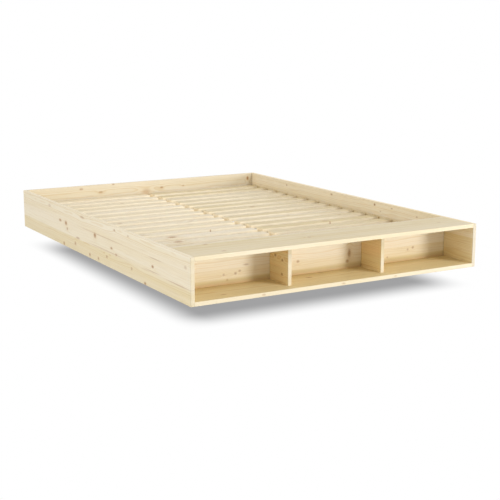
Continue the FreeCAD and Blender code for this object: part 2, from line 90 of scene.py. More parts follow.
# Pine boards
STAVE_WIDTH = 0.075
RING_SPACING = 0.0042
GLUE_LINE = 0.0005
GRAIN_WANDER = 0.0025
WANDER_SCALE = 45.0
KNOT_RADIUS = 0.010
# In knot radii, so that a knot goes right through a board
KNOT_THROUGH = 100.0
EDGE_WRAP = 0.003
FRONT_CONTRAST_SHARE = 0.35
# Painted shade along the corner where a board meets another: its reach along the grain and how dark it gets
JOINT_SHADE_REACH = 0.008
JOINT_SHADE = 0.72
# Reach of the painted shade, darker and warmer, at the lower edge of a board that stands on another
FOOT_SHADE_REACH = 0.036
KNOT_BEND_SHARE = 0.5
FINISH_ROUGHNESS = 0.52
# Wider than any timber, so that a timber has no glue line
WHOLE_TIMBER = 0.5
TIMBER_SEED = 31.0
LEG_SEED = 41.0
SLAT_SEED = 51.0

# Figure of the pine. Scales are cycles of noise to a metre, or to a stave's number. A step is a start and
# an end, then the values there if they are not 0 and 1.
SEED_STRIDE = 17.31
LOG_LENGTH = 9.0
SWAY_SCALES = (0.9, 3.7, 1.0)
HEART_SWAY = 0.060
HEART_SIDE = 0.090
HEART_DEPTH = 0.050
HEART_LEAST_DEPTH = 0.012
RIPPLE_SCALES = (5.0, 26.0, 1.0)
RING_RIPPLE = 0.006
CELLS_ALONG = 3.4
CELLS_ACROSS = 9.0
CELL_STRIDE = 5.3
SMALL_KNOT = 0.0035
KNOT_GROWTH = 0.006
SMALL_CORE_STEP = (1.4, 0.3, 0.0, 0.8)
CORE_STEP = (1.45, 0.25)
HALO_STEP = (3.6, 0.6)
HALO_STRENGTH = 0.30
LATE_STEP = (0.35, 0.88)
RING_END_STEP = (1.0, 0.92)
LATE_LEAST = 0.25
LATE_CHANGE = 0.75
FIBRE_SCALES = (9.0, 520.0, 520.0)
FIBRE_STEP = (0.25, 0.75, 0.955, 1.02)
STREAK_SCALES = (5.0, 190.0, 190.0)
STREAK_STEP = (0.58, 0.80, 0.0, 0.6)
CLOUD_SCALES = (0.8, 22.0, 1.0)
CLOUD_CHANGE = 0.9
GLUE_STRENGTH = 0.55
KNOT_GRAIN_SCALES = (210.0, 210.0, 40.0)
KNOT_GRAIN_STEP = (0.35, 0.65)
ROUGHNESS_CHANGES = {"late": -0.08, "fibre": 0.08, "knot": -0.10}
RELIEF_HEIGHTS = {"fibre": 0.00007, "late": 0.00008, "glue": -0.00012, "knot": 0.00010}

# Other finishes, in the same way
ZINC_CRYSTALS = 420.0
ZINC_CLOUDS = 168.0
ZINC_STEP = (0.2, 1.8)
ZINC_ROUGHNESS = 0.24
ZINC_CLOUD_ROUGHNESS = 0.10
SCRATCH_SCALES = (60.0, 2600.0, 900.0)
SCRATCH_ROUGHNESS = 0.16
SCRATCH_RELIEF = 0.00002
RAY_SCALES = (900.0, 900.0, 300.0)
RAY_STEP = (0.55, 0.75, 0.0, 0.6)
RAY_ROUGHNESS_STEP = (0.3, 0.7, 0.62, 0.50)
RAY_RELIEF = 0.00005
BEECH_CLOUDS = 60.0
BEECH_CLOUD_STEP = (0.3, 0.7, 0.0, 0.3)
FELT_SCALE = 900.0
FELT_STEP = (0.3, 0.7)
FELT_ROUGHNESS_STEP = (0.2, 0.8, 0.98, 0.86)
FELT_RELIEF = 0.0006
HAIR_SCALES = (260.0, 1500.0, 1500.0)
HAIR_STEP = (0.62, 0.72, 0.0, 0.5)
YARN = 0.0016
WEAVE_RELIEF = 0.0003
FUZZ_SCALE = 1400.0
FUZZ_ROUGHNESS_STEP = (0.2, 0.8, 0.92, 0.78)
FUZZ_RELIEF = 0.0001
SOIL_SCALE = 9.0
SOIL_STEP = (0.45, 0.75, 0.0, 0.35)

# Slats and what holds them together
SLAT_SETS = ("left", "right")
SLATS = 16
SLAT_EDGE_RADIUS = 0.003
SLAT_END_BEVEL = 0.0012
SLAT_SHIFT = 0.0008
SLAT_SKEW = math.radians(0.06)
BEVEL_STEPS = 2
BEVEL_ANGLE = math.radians(60)
FILLET_STEPS = 4
STRAP_SAG = 0.0012
STRAP_EDGE_RADIUS = 0.0005
STRAPS = 2
STRAP_STEPS_PER_SLAT = 10.0
STAPLE_CROWN = 0.011
STAPLE_WIRE = 0.0006
STAPLE_BEND = 0.0012
STAPLE_BEND_POWER = 6.0
STAPLE_STEPS = 9
STAPLE_SIDES = 6
STAPLE_PAIR_GAP = 0.026

# Fittings
SCREW_SHANK_RADIUS = 0.002
SCREW_TIP = 0.004
SCREW_HEAD_HEIGHT = 0.0022
SCREW_RECESS_LENGTH = 0.0040
SCREW_RECESS_WIDTH = 0.0010
SCREW_RECESS_DEPTH = 0.0011
BOLT_SHANK_RADIUS = 0.004
BOLT_TIP = 0.0015
BOLT_HEAD_HEIGHT = 0.0045
BOLT_SOCKET_RADIUS = 0.0029
BOLT_SOCKET_DEPTH = 0.0028
BOLT_SOCKET_SIDES = 6
HEAD_SIDES = 24
HEAD_STEPS = 5
SHANK_SIDES = 12
TIP_END_SHARE = 0.3
PAN_DOME = 0.80
PAD_EDGE_RADIUS = 0.0008
PAD_ROUGHNESS = 0.00025
PAD_ROUGHNESS_SCALE = 260.0
PAD_RIM_POWER = 12.0
PAD_SIDES = 48
PAD_SIDE_STEPS = 6
PAD_FACE_STEPS = 10

MERGE_DISTANCE = 1e-6
SMOOTH_ANGLE = math.radians(35)
WELD_OVERLAP = 0.0002


def srgb(red, green, blue):
    """A colour written as it looks on a screen, from 0 to 255, in the renderer's own linear values."""
    linear = []
    for channel in (red, green, blue):
        value = channel / 255
        linear.append(value / 12.92 if value <= 0.04045 else ((value + 0.055) / 1.055) ** 2.4)
    return (*linear, 1.0)


WHITE = srgb(255, 255, 255)
PINE_EARLY = srgb(245, 234, 211)
PINE_LATE = srgb(226, 200, 151)
PINE_WARM = srgb(240, 231, 197)
PINE_HONEY = srgb(254, 226, 186)
PINE_GLUE = srgb(202, 173, 126)
KNOT_RED = srgb(194, 148, 96)
KNOT_DARK = srgb(148, 104, 60)
ZINC_BRIGHT = srgb(190, 192, 196)
ZINC_DULL = srgb(155.80, 157.44, 160.72)
BEECH_PALE = srgb(222, 190, 152)
BEECH_RAY = srgb(176, 128, 92)
BEECH_CLOUD = srgb(206, 164, 122)
FELT_DARK = srgb(66, 63, 60)
FELT_GREY = srgb(112, 107, 100)
FELT_HAIR = srgb(168, 162, 152)
TAPE_DARK = srgb(186, 180, 166)
TAPE_PALE = srgb(228, 223, 210)
TAPE_SOIL = srgb(198, 188, 166)
SHADOW_GREY = srgb(162, 162, 163)

# Knots and dark streaks that show in the photograph. Each row is a place as shares of the board's length and
# width, then a length and a width in knot radii, then a strength.
LEFT_SIDE_KNOT_SHARES = (
    (0.793, 0.880, 2.2, 0.9, 0.35), (0.568, 0.916, 3.2, 0.7, 0.50), (0.373, 0.920, 1.1, 0.6, 0.65),
    (0.298, 0.916, 0.9, 0.5, 0.50), (0.718, 0.613, 2.2, 0.8, 0.80), (0.678, 0.600, 1.8, 1.2, 0.95),
    (0.670, 0.467, 1.0, 0.8, 0.75), (0.489, 0.609, 1.7, 1.4, 0.95), (0.392, 0.476, 1.5, 0.7, 0.80),
    (0.174, 0.476, 1.3, 0.8, 0.90), (0.599, 0.356, 2.8, 0.6, 0.60), (0.366, 0.369, 1.6, 0.6, 0.75),
    (0.617, 0.191, 1.3, 1.0, 0.70), (0.420, 0.227, 1.1, 0.8, 0.65), (0.282, 0.218, 1.1, 0.9, 0.50),
    (0.524, 0.084, 1.1, 0.9, 0.85), (0.471, 0.089, 1.1, 0.9, 0.70), (0.696, 0.058, 1.2, 1.1, 0.85),
    (0.213, 0.031, 1.2, 0.9, 0.85), (0.022, 0.756, 1.4, 0.9, 0.35),
    (0.449, 0.658, 31.0, 0.30, 0.35), (0.163, 0.658, 7.0, 0.30, 0.40), (0.419, 0.364, 26.0, 0.30, 0.40),
    (0.176, 0.364, 9.0, 0.30, 0.40), (0.055, 0.333, 13.0, 0.35, 0.45),
)
RIGHT_SIDE_KNOT_SHARES = (
    (0.793, 0.877, 0.9, 0.6, 0.60), (0.565, 0.913, 1.2, 0.6, 0.60), (0.371, 0.910, 0.8, 0.7, 0.90),
    (0.300, 0.913, 1.0, 0.5, 0.50), (0.346, 0.769, 0.8, 0.5, 0.40), (0.201, 0.847, 0.8, 0.5, 0.50),
)
HEAD_KNOT_SHARES = (
    (0.356, 0.978, 1.0, 0.5, 0.60), (0.219, 0.912, 1.3, 0.7, 0.60), (0.301, 0.787, 1.6, 0.7, 0.60),
    (0.499, 0.680, 3.2, 2.4, 0.40), (0.569, 0.784, 1.2, 0.7, 0.70), (0.668, 0.786, 1.0, 0.5, 0.50),
    (0.977, 0.851, 0.9, 1.3, 1.00),
)
SHELF_BACK_KNOT_SHARES = (
    (0.243, 0.464, 1.6, 0.5, 0.50), (0.221, 0.312, 0.8, 0.6, 0.55), (0.207, 0.262, 0.8, 0.7, 0.60),
    (0.167, 0.263, 0.7, 0.7, 0.40), (0.179, 0.117, 0.6, 0.6, 0.40), (0.426, 0.364, 0.9, 0.8, 0.60),
    (0.617, 0.412, 1.0, 2.2, 0.70), (0.610, 0.199, 1.0, 0.9, 0.65), (0.870, 0.348, 0.8, 0.7, 0.60),
    (0.849, 0.307, 0.7, 0.6, 0.50), (0.767, 0.156, 0.6, 0.6, 0.45),
)
LEFT_DIVIDER_KNOT_SHARES = (
    (0.690, 0.682, 1.0, 0.7, 0.80), (0.312, 0.613, 0.8, 0.7, 0.90), (0.327, 0.241, 0.9, 0.7, 0.80),
)
SHELF_BOTTOM_KNOT_SHARES = (
    (0.111, 0.252, 1.6, 0.9, 0.60), (0.437, 0.615, 2.0, 1.0, 0.80), (0.505, 0.876, 1.3, 0.8, 0.50),
)
# Knots in the front edge of the shelf's bottom board: a share of its length, then a length and a height in
# knot radii, then a strength
SHELF_EDGE_KNOT_SHARES = (
    (0.221, 1.1, 0.55, 0.40), (0.499, 1.3, 0.55, 0.40), (0.693, 1.1, 0.50, 0.30),
)
SHELF_TOP_KNOT_SHARES = (
    (0.105, 0.900, 1.4, 0.9, 0.85), (0.110, 0.220, 1.4, 0.9, 0.60), (0.427, 0.534, 1.3, 0.9, 0.70),
    (0.921, 0.492, 1.1, 0.7, 0.45),
)
# Where a board's ends meet another board, as shares of its length
BOTH_END_SHARES = (0.0, 1.0)
FAR_END_SHARE = (1.0,)
# Slat knots: the slat, counted from the head, a share of its length, a length and a width in knot radii,
# then a strength
LEFT_SLAT_KNOT_SHARES = (
    (12, 0.359, 2.6, 1.8, 0.90), (13, 0.326, 2.6, 1.7, 0.90), (9, 0.746, 2.2, 1.0, 0.60),
    (3, 0.624, 1.5, 0.8, 0.60), (11, 0.218, 1.4, 0.8, 0.50), (8, 0.257, 1.6, 1.0, 0.70),
)
RIGHT_SLAT_KNOT_SHARES = (
    (7, 0.410, 2.2, 1.1, 0.70), (12, 0.552, 2.4, 1.0, 0.70), (11, 0.794, 1.4, 0.8, 0.60),
    (15, 0.127, 1.6, 0.9, 0.60), (10, 0.439, 1.3, 0.8, 0.50),
)


class Graph:
    """A node tree that is wired up by calls. Inputs take a socket or a plain value."""

    def __init__(self, tree):
        self.tree = tree

    def wire(self, socket, value):
        if isinstance(value, bpy.types.NodeSocket):
            self.tree.links.new(value, socket)
        else:
            socket.default_value = value

    def add(self, kind, inputs=None, **settings):
        node = self.tree.nodes.new(kind)
        for name, value in settings.items():
            setattr(node, name, value)
        for key, value in (inputs or {}).items():
            self.wire(node.inputs[key], value)
        return node

    def make(self, kind, inputs=None, **settings):
        """The first output of a new node."""
        return self.add(kind, inputs, **settings).outputs[0]

    def math(self, operation, *values):
        return self.make("ShaderNodeMath", dict(enumerate(values)), operation=operation)

    plus = partialmethod(math, "ADD")
    minus = partialmethod(math, "SUBTRACT")
    times = partialmethod(math, "MULTIPLY")
    over = partialmethod(math, "DIVIDE")

    def scaled(self, value, factor, start):
        """A start plus a value times a factor."""
        return self.math("MULTIPLY_ADD", value, factor, start)

    def spread(self, share, reach, middle=0.0):
        """A share from 0 to 1, spread over a reach about a middle."""
        return self.scaled(self.minus(share, 0.5), reach, middle)

    def blend(self, factor, first, second):
        """A value that goes from first to second with the factor."""
        return self.scaled(factor, self.minus(second, first), first)

    def vector(self, operation, *values):
        node = self.add("ShaderNodeVectorMath", dict(enumerate(values)), operation=operation)
        return node.outputs["Value" if operation == "LENGTH" else "Vector"]

    def split(self, vector):
        return self.add("ShaderNodeSeparateXYZ", {"Vector": vector}).outputs

    def join(self, x, y, z):
        return self.make("ShaderNodeCombineXYZ", {"X": x, "Y": y, "Z": z})

    def channels(self, colour):
        return self.add("ShaderNodeSeparateColor", {0: colour}).outputs

    def rise(self, value, start, end, low=0.0, high=1.0):
        """A smooth step from low at start to high at end."""
        inputs = {"Value": value, "From Min": start, "From Max": end, "To Min": low, "To Max": high}
        return self.make("ShaderNodeMapRange", inputs, interpolation_type="SMOOTHSTEP")

    def noise(self, vector, scale, detail=2.0, roughness=0.5):
        inputs = {"Vector": vector, "Scale": scale, "Detail": detail, "Roughness": roughness}
        return self.make("ShaderNodeTexNoise", inputs)

    def grain(self, vector, scales, detail=2.0):
        """Noise with a scale of its own along each axis."""
        return self.noise(self.vector("MULTIPLY", vector, scales), 1.0, detail)

    def chance(self, key):
        """A random value and a random colour, the same wherever key is the same."""
        return self.add("ShaderNodeTexWhiteNoise", {"W": key}, noise_dimensions="1D").outputs

    def mix(self, factor, first, second, blend="MIX"):
        node = self.add("ShaderNodeMix", {0: factor, 6: first, 7: second}, data_type="RGBA", blend_type=blend)
        return node.outputs[2]


def node_group(name, kind, inputs, outputs):
    """A node group with sockets listed by kind: its graph, its inputs and its outputs, both by name."""
    tree = bpy.data.node_groups.new(name, kind)
    for way, sockets in (("INPUT", inputs), ("OUTPUT", outputs)):
        for socket_kind, names in sockets.items():
            for socket_name in names:
                tree.interface.new_socket(socket_name, in_out=way, socket_type="NodeSocket" + socket_kind)
    graph = Graph(tree)
    return graph, graph.add("NodeGroupInput").outputs, graph.add("NodeGroupOutput").inputs


# Shader groups

def make_knot_group():
    """One knot or dark streak: raises the mask of knot wood and bends the rings round it."""
    inputs = {"Vector": ("Vector", "Place", "Reach"), "Float": ("Strength", "Core", "Bend")}
    graph, given, result = node_group("pine_knot", "ShaderNodeTree", inputs, {"Float": ("Core", "Bend")})
    offset = graph.vector("SUBTRACT", given["Vector"], given["Place"])
    distance = graph.vector("LENGTH", graph.vector("DIVIDE", offset, given["Reach"]))
    core = graph.times(graph.rise(distance, *CORE_STEP), given["Strength"])
    halo = graph.times(graph.rise(distance, *HALO_STEP), given["Strength"])
    push = graph.times(graph.split(given["Reach"])["Y"], KNOT_BEND_SHARE)
    graph.wire(result["Core"], graph.math("MAXIMUM", given["Core"], core))
    graph.wire(result["Bend"], graph.scaled(halo, push, given["Bend"]))
    return graph.tree


def make_pine_group():
    """Glued pine staves: rings, fibres, glue lines and knots, from a place along, across and through."""
    inputs = {"Vector": ("Vector",), "Float": (
        "Stave Width", "Seed", "Ring Spacing", "Grain Contrast", "Knot Share", "Tone", "Stave Change",
        "Shade", "Core", "Bend",
    )}
    outputs = {"Color": ("Color",), "Float": ("Roughness", "Height")}
    graph, given, result = node_group("pine_figure", "ShaderNodeTree", inputs, outputs)
    along, across, through = graph.split(given["Vector"])

    # Each stave has its own tone, its own stretch of the log and its own heart
    stave = graph.over(across, given["Stave Width"])
    index = graph.math("FLOOR", stave)
    key = graph.scaled(given["Seed"], SEED_STRIDE, index)
    stave_tone, stave_colour = graph.chance(key)
    log_shift, heart_side, heart_depth = graph.channels(stave_colour)
    middle = graph.minus(graph.minus(stave, index), 0.5)
    local = graph.times(middle, given["Stave Width"])
    run = graph.scaled(log_shift, LOG_LENGTH, along)
    stretch = graph.join(run, local, key)

    # Rings round a heart that wanders along the log
    sway = graph.spread(graph.grain(graph.join(run, key, 0.0), SWAY_SCALES), HEART_SWAY)
    ripple = graph.spread(graph.grain(stretch, RIPPLE_SCALES), RING_RIPPLE)
    side = graph.plus(graph.spread(heart_side, HEART_SIDE, local), sway)
    depth = graph.plus(graph.scaled(heart_depth, HEART_DEPTH, through), HEART_LEAST_DEPTH)
    radius = graph.plus(graph.vector("LENGTH", graph.join(side, depth, 0.0)), ripple)

    # Scattered knots, one to a cell along each stave
    cell_row = graph.scaled(local, CELLS_ACROSS, graph.times(key, CELL_STRIDE))
    cell_place = graph.join(graph.times(run, CELLS_ALONG), cell_row, 0.0)
    cell = graph.add("ShaderNodeTexVoronoi", {"Vector": cell_place, "Scale": 1.0}, voronoi_dimensions="2D")
    knot_offset = graph.vector("SUBTRACT", cell_place, cell.outputs["Position"])
    knot_offset = graph.vector("MULTIPLY", knot_offset, (1 / CELLS_ALONG, 1 / CELLS_ACROSS, 0.0))
    knot_pick, knot_size, _ = graph.channels(cell.outputs["Color"])
    knot_reach = graph.scaled(knot_size, KNOT_GROWTH, SMALL_KNOT)
    knot_distance = graph.over(graph.vector("LENGTH", knot_offset), knot_reach)
    knot_here = graph.math("LESS_THAN", knot_pick, given["Knot Share"])
    knot_core = graph.times(graph.rise(knot_distance, *SMALL_CORE_STEP), knot_here)
    knot_halo = graph.times(graph.rise(knot_distance, *HALO_STEP), knot_here)
    core = graph.math("MAXIMUM", given["Core"], knot_core)
    bend = graph.scaled(knot_halo, graph.times(knot_reach, KNOT_BEND_SHARE), given["Bend"])
    radius = graph.plus(radius, bend)

    # Late wood darkens towards the end of each ring
    ring = graph.over(radius, given["Ring Spacing"])
    ring_index = graph.math("FLOOR", ring)
    ring_place = graph.minus(ring, ring_index)
    ring_weight = graph.chance(graph.plus(ring_index, key))[0]
    late = graph.times(graph.rise(ring_place, *LATE_STEP), graph.rise(ring_place, *RING_END_STEP))
    late = graph.times(late, graph.scaled(ring_weight, LATE_CHANGE, LATE_LEAST))
    late = graph.times(late, given["Grain Contrast"])
    fibre = graph.grain(given["Vector"], FIBRE_SCALES)
    streak = graph.rise(graph.grain(given["Vector"], STREAK_SCALES, detail=1.0), *STREAK_STEP)
    streak = graph.times(streak, given["Grain Contrast"])

    # Colour, from pale to warm by stave and by broad cloud, then rings, fibres and the board's shade, partly
    # painted light, then glue and knots
    warmth = graph.spread(stave_tone, given["Stave Change"], given["Tone"])
    warmth = graph.spread(graph.grain(stretch, CLOUD_SCALES, detail=3.0), CLOUD_CHANGE, warmth)
    tint = graph.mix(graph.rise(warmth, 0.0, 1.0), WHITE, PINE_WARM)
    tint = graph.mix(graph.rise(warmth, 1.0, 2.0), tint, PINE_HONEY)
    colour = graph.mix(late, PINE_EARLY, PINE_LATE)
    colour = graph.mix(streak, colour, PINE_GLUE)
    colour = graph.mix(1.0, colour, tint, "MULTIPLY")
    fleck_and_shade = graph.times(graph.rise(fibre, *FIBRE_STEP), given["Shade"])
    colour = graph.mix(1.0, colour, graph.join(fleck_and_shade, fleck_and_shade, fleck_and_shade), "MULTIPLY")
    from_seam = graph.times(graph.minus(0.5, graph.math("ABSOLUTE", middle)), given["Stave Width"])
    glue = graph.rise(from_seam, GLUE_LINE, 0.0, 0.0, GLUE_STRENGTH)
    colour = graph.mix(glue, colour, PINE_GLUE)
    colour = graph.mix(graph.rise(bend, 0.0, KNOT_RADIUS, 0.0, HALO_STRENGTH), colour, PINE_LATE)
    knot_grain = graph.grain(given["Vector"], KNOT_GRAIN_SCALES)
    knot_colour = graph.mix(graph.rise(knot_grain, *KNOT_GRAIN_STEP), KNOT_RED, KNOT_DARK)
    graph.wire(result["Color"], graph.mix(core, colour, knot_colour))

    # What late wood, fibres, glue and knots change in the gloss and the relief
    masks = {"late": late, "fibre": fibre, "glue": glue, "knot": core}
    roughness = FINISH_ROUGHNESS
    for name, change in ROUGHNESS_CHANGES.items():
        roughness = graph.scaled(masks[name], change, roughness)
    relief = 0.0
    for name, height in RELIEF_HEIGHTS.items():
        relief = graph.scaled(masks[name], height, relief)
    graph.wire(result["Roughness"], roughness)
    graph.wire(result["Height"], relief)
    return graph.tree


knot_group = make_knot_group()
pine_group = make_pine_group()


# Materials

def new_material(name, **constants):
    """A material with a Principled shader: its graph, the shader and the Object coordinates."""
    material = bpy.data.materials.new(name)
    material.use_nodes = True
    graph = Graph(material.node_tree)
    shader = material.node_tree.nodes["Principled BSDF"]
    for socket, value in constants.items():
        shader.inputs[socket.replace("_", " ")].default_value = value
    place = graph.add("ShaderNodeTexCoord").outputs["Object"]
    return material, graph, shader, place


def coat(graph, shader, colour, roughness, height):
    """Gives a shader its colour, its roughness and its relief in metres."""
    bump = graph.add("ShaderNodeBump", {"Height": height, "Distance": 1.0, "Strength": 1.0})
    graph.wire(shader.inputs["Base Color"], colour)
    graph.wire(shader.inputs["Roughness"], roughness)
    graph.wire(shader.inputs["Normal"], bump.outputs["Normal"])


def pine(name, corner, grain, seed, knots=(), width=None, stave=STAVE_WIDTH, contrast=0.75, knot_share=0.0,
         tone=0.35, stave_change=0.4, shade=1.0, stave_tones=(), front=None, top=None, foot=None, joints=()):
    """Pine whose grain, staves and thickness follow the three axes in grain, measured from a corner.

    Knots are rows of place, reach and strength. With a width across the staves, no glue line lies on an edge.
    Tones go from pale at 0 to warm at 1 and honey at 2. Stave tones are for single staves, the lowest first.
    A pair in front gives the face at the foot of the bed a tone and a shade of its own, with a quieter grain:
    painted light, set for how the lamps light that face. A height, a tone and a shade in top set what lies
    above that height apart from the quieter grain below: painted light, which shades the tops apart from the
    sides.
    A tone and a shade in foot are reached at the lower edge: painted shade, darker and warmer where the board
    meets the one below. Joints are places along the grain where the board meets another and painted shade
    darkens a line along the corner.
    """
    material, graph, shader, place = new_material(name, Specular_IOR_Level=0.35)
    axes = graph.split(place)
    start = [corner["XYZ".index(letter)] for letter in grain]
    board_place = graph.vector("SUBTRACT", graph.join(*(axes[letter] for letter in grain)), start)
    drift = graph.add("ShaderNodeTexNoise", {"Vector": board_place, "Scale": WANDER_SCALE, "Detail": 2.0})
    wander = graph.vector("SUBTRACT", drift.outputs["Color"], (0.5, 0.5, 0.5))
    wander = graph.vector("MULTIPLY", wander, (GRAIN_WANDER, GRAIN_WANDER, 0.0))
    knot_place = graph.vector("ADD", board_place, wander)
    core, bend = 0.0, 0.0
    for spot, reach, strength in knots:
        core, bend = graph.add("ShaderNodeGroup", {
            "Vector": knot_place, "Place": spot, "Reach": reach, "Strength": strength,
            "Core": core, "Bend": bend,
        }, node_tree=knot_group).outputs
    run, height, depth = graph.split(board_place)
    if width:
        inside = graph.math("MAXIMUM", graph.math("MINIMUM", height, width - GLUE_LINE), GLUE_LINE)
        board_place = graph.join(run, inside, depth)
    if stave_tones:
        tone = stave_tones[0]
    for number, upper_tone in enumerate(stave_tones[1:], 1):
        above = graph.rise(height, number * stave - GLUE_LINE, number * stave)
        tone = graph.blend(above, tone, upper_tone)
    zones = []
    # Painted shade: darker and warmer towards the lower edge
    if foot:
        zones.append((graph.rise(height, FOOT_SHADE_REACH, 0.0), *foot))
    # Painted light: the tops shaded apart from the brighter, lit sides
    if top:
        top_height, *top_painted_shade = top
        at_top = graph.rise(axes["Z"], top_height - EDGE_WRAP, top_height)
        contrast = graph.blend(at_top, contrast * FRONT_CONTRAST_SHARE, contrast)
        zones.append((at_top, *top_painted_shade))
    # Painted light: the face at the foot of the bed gets a tone and a shade for the light that falls on it
    if front:
        at_front = graph.rise(graph.minus(axes["Y"], corner.y), EDGE_WRAP, EDGE_WRAP / 2)
        contrast = graph.blend(at_front, contrast, contrast * FRONT_CONTRAST_SHARE)
        zones.append((at_front, *front))
    for zone, zone_tone, zone_shade in zones:
        tone = graph.blend(zone, tone, zone_tone)
        shade = graph.blend(zone, shade, zone_shade)
    # Painted shade along the corners where the board meets others
    for joint in joints:
        from_joint = graph.math("ABSOLUTE", graph.minus(run, joint))
        shade = graph.times(graph.rise(from_joint, 0.0, JOINT_SHADE_REACH, JOINT_SHADE, 1.0), shade)
    figure = graph.add("ShaderNodeGroup", {
        "Vector": board_place, "Stave Width": stave, "Seed": seed, "Ring Spacing": RING_SPACING,
        "Grain Contrast": contrast, "Knot Share": knot_share, "Tone": tone, "Stave Change": stave_change,
        "Shade": shade, "Core": core, "Bend": bend,
    }, node_tree=pine_group).outputs
    coat(graph, shader, figure["Color"], figure["Roughness"], figure["Height"])
    return material


def knot_row(spot, along, across, through, strength):
    """A knot for pine(), from a reach in knot radii along, across and through."""
    return spot, (along * KNOT_RADIUS, across * KNOT_RADIUS, through * KNOT_RADIUS), strength


def board_knots(size, shares, edge_shares):
    """Rows of knots in metres, from shares of a board's size along and across, or along its front edge."""
    rows = []
    for along, across, length, width, strength in shares:
        spot = (along * size[0], across * size[1], size[2] / 2)
        rows.append(knot_row(spot, length, width, KNOT_THROUGH, strength))
    for along, length, width, strength in edge_shares:
        spot = (along * size[0], 0.0, size[2] / 2)
        rows.append(knot_row(spot, length, 1.0, width, strength))
    return rows


def paint(node, material):
    """Gives a solid of the frame its finish."""
    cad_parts[node].material_slots[0].material = material


def dress_board(node, grain, seed, shares=(), edge_shares=(), joint_shares=(), **finish_and_painted_light):
    """Gives a board of the frame its own pine, with its knots and painted shade along its joints."""
    low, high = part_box(node)
    size = [(high - low)["XYZ".index(letter)] for letter in grain]
    knots = board_knots(size, shares, edge_shares)
    joints = [share * size[0] for share in joint_shares]
    paint(node, pine(f"pine_{node}", low, grain, seed, knots, size[1], joints=joints, **finish_and_painted_light))


def zinc():
    """Bright zinc plate: cloudy crystals, fine scratches and a little staining."""
    material, graph, shader, place = new_material("zinc_steel", Metallic=1.0)
    crystals = graph.add("ShaderNodeTexVoronoi", {"Vector": place, "Scale": ZINC_CRYSTALS}).outputs["Color"]
    cloud = graph.noise(place, ZINC_CLOUDS, detail=4.0)
    scratch = graph.grain(place, SCRATCH_SCALES)
    shade = graph.rise(graph.plus(graph.channels(crystals)[0], cloud), *ZINC_STEP)
    rough = graph.scaled(scratch, SCRATCH_ROUGHNESS, ZINC_ROUGHNESS)
    rough = graph.scaled(cloud, ZINC_CLOUD_ROUGHNESS, rough)
    coat(graph, shader, graph.mix(shade, ZINC_DULL, ZINC_BRIGHT), rough, graph.times(scratch, SCRATCH_RELIEF))
    return material


def beech():
    """Beech dowel: pinkish wood with short dark rays along the grain."""
    material, graph, shader, place = new_material("beech_dowel")
    ray = graph.grain(place, RAY_SCALES, detail=1.0)
    cloud = graph.noise(place, BEECH_CLOUDS)
    colour = graph.mix(graph.rise(ray, *RAY_STEP), BEECH_PALE, BEECH_RAY)
    colour = graph.mix(graph.rise(cloud, *BEECH_CLOUD_STEP), colour, BEECH_CLOUD)
    coat(graph, shader, colour, graph.rise(ray, *RAY_ROUGHNESS_STEP), graph.times(ray, RAY_RELIEF))
    return material


def felt():
    """Pressed grey felt: matted fibres, pale and dark hairs, no gloss."""
    material, graph, shader, place = new_material("pressed_felt", Specular_IOR_Level=0.1, Sheen_Weight=0.4)
    mat = graph.noise(place, FELT_SCALE, detail=4.0, roughness=0.7)
    hair = graph.grain(place, HAIR_SCALES)
    colour = graph.mix(graph.rise(mat, *FELT_STEP), FELT_DARK, FELT_GREY)
    colour = graph.mix(graph.rise(hair, *HAIR_STEP), colour, FELT_HAIR)
    coat(graph, shader, colour, graph.rise(mat, *FELT_ROUGHNESS_STEP), graph.times(mat, FELT_RELIEF))
    return material


def webbing():
    """Woven tape: warp and weft crossing over and under, with a little soiling."""
    material, graph, shader, place = new_material("woven_webbing", Specular_IOR_Level=0.2, Sheen_Weight=0.25)
    across, along, _ = graph.split(place)
    warp = graph.math("SINE", graph.times(across, 2 * math.pi / YARN))
    weft = graph.math("SINE", graph.times(along, 2 * math.pi / YARN))
    weave = graph.scaled(graph.times(warp, weft), 0.5, 0.5)
    fuzz = graph.noise(place, FUZZ_SCALE, detail=3.0)
    soil = graph.noise(place, SOIL_SCALE, detail=3.0)
    colour = graph.mix(weave, TAPE_DARK, TAPE_PALE)
    colour = graph.mix(graph.rise(soil, *SOIL_STEP), colour, TAPE_SOIL)
    relief = graph.scaled(weave, WEAVE_RELIEF, graph.times(fuzz, FUZZ_RELIEF))
    coat(graph, shader, colour, graph.rise(fuzz, *FUZZ_ROUGHNESS_STEP), relief)
    return material


# Geometry node trees

def shape_group(name, **inputs):
    """A geometry node group whose inputs are listed by their kind, after the geometry itself."""
    geometry = {"Geometry": ("Geometry",)}
    return node_group(name, "GeometryNodeTree", {**geometry, **inputs}, geometry)


def make_slat_row():
    """A row of planed slats with eased edges, each a little off its line."""
    graph, given, result = shape_group(
        "slat_row", Int=("Count", "Seed"), Vector=("First",), Material=("Wood",),
        Float=("Pitch", "Length", "Width", "Thickness", "Edge Radius", "Shift", "Skew"))
    line = centred_line(graph, graph.times(given["Length"], 0.5))
    section = rounded_section(graph, given["Width"], given["Thickness"], given["Edge Radius"])
    points = row_of_points(graph, given["Count"], given["First"], given["Pitch"])
    shift = random_vector(graph, graph.join(given["Shift"], given["Shift"], 0.0), given["Seed"])
    points = move(graph, points, shift)
    turn = random_vector(graph, graph.join(0.0, 0.0, given["Skew"]), graph.plus(given["Seed"], 1.0))
    rotation = graph.make("FunctionNodeEulerToRotation", {0: turn})
    finish_tree(graph, result, instance(graph, points, sweep(graph, line, section), rotation), given["Wood"])
    return graph.tree


